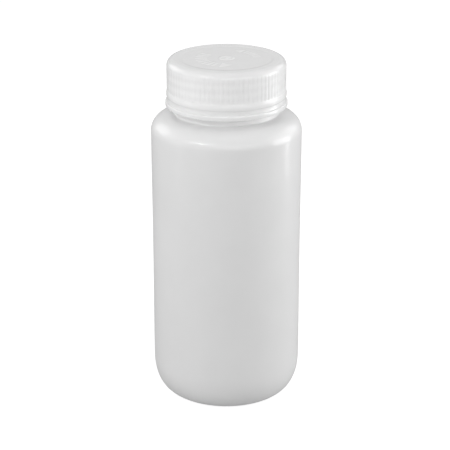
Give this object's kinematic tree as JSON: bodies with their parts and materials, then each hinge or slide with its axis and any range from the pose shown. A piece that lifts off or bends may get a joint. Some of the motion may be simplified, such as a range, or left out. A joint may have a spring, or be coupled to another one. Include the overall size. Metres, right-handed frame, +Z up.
{
  "type": "wide-mouth laboratory bottle",
  "caption": "Round wide-mouth translucent plastic laboratory bottle with a ribbed screw cap that unscrews and lifts off the threaded neck, and a sealing disc inside the cap.",
  "frame": {"origin": "centre of the base, on the surface the bottle stands on", "axes": "+Z up along the bottle's own axis, which is also the axis the cap turns about; X and Y are across, and the bottle is round"},
  "size_m": [0.0724, 0.0724, 0.1702],
  "materials": {
    "bottle_plastic": "natural white translucent polyethylene, satin blow-moulded skin",
    "cap_plastic": "unpigmented translucent polypropylene, semi-gloss injection moulding",
    "disc_plastic": "soft translucent polyethylene sheet, dull"
  },
  "bodies": {
    "bottle": {"bottle": "bottle_plastic"},
    "disc": {"sealing_disc": "disc_plastic"},
    "cap": {"screw_cap": "cap_plastic"}
  },
  "joints": [
    {"name": "cap_lift", "type": "slide", "parent": "bottle", "child": "disc", "axis": [0, 0, 1], "range_m": [0, 0.02541]},
    {"name": "cap_turn", "type": "hinge", "parent": "disc", "child": "cap", "pos_m": [0, 0, 0.1665], "axis": [0, 0, 1], "range_deg": [0, 2160]}
  ],
  "couplings": [
    {"joint": "cap_lift", "follows": "cap_turn", "m_per_rad": 0.00067376}
  ]
}
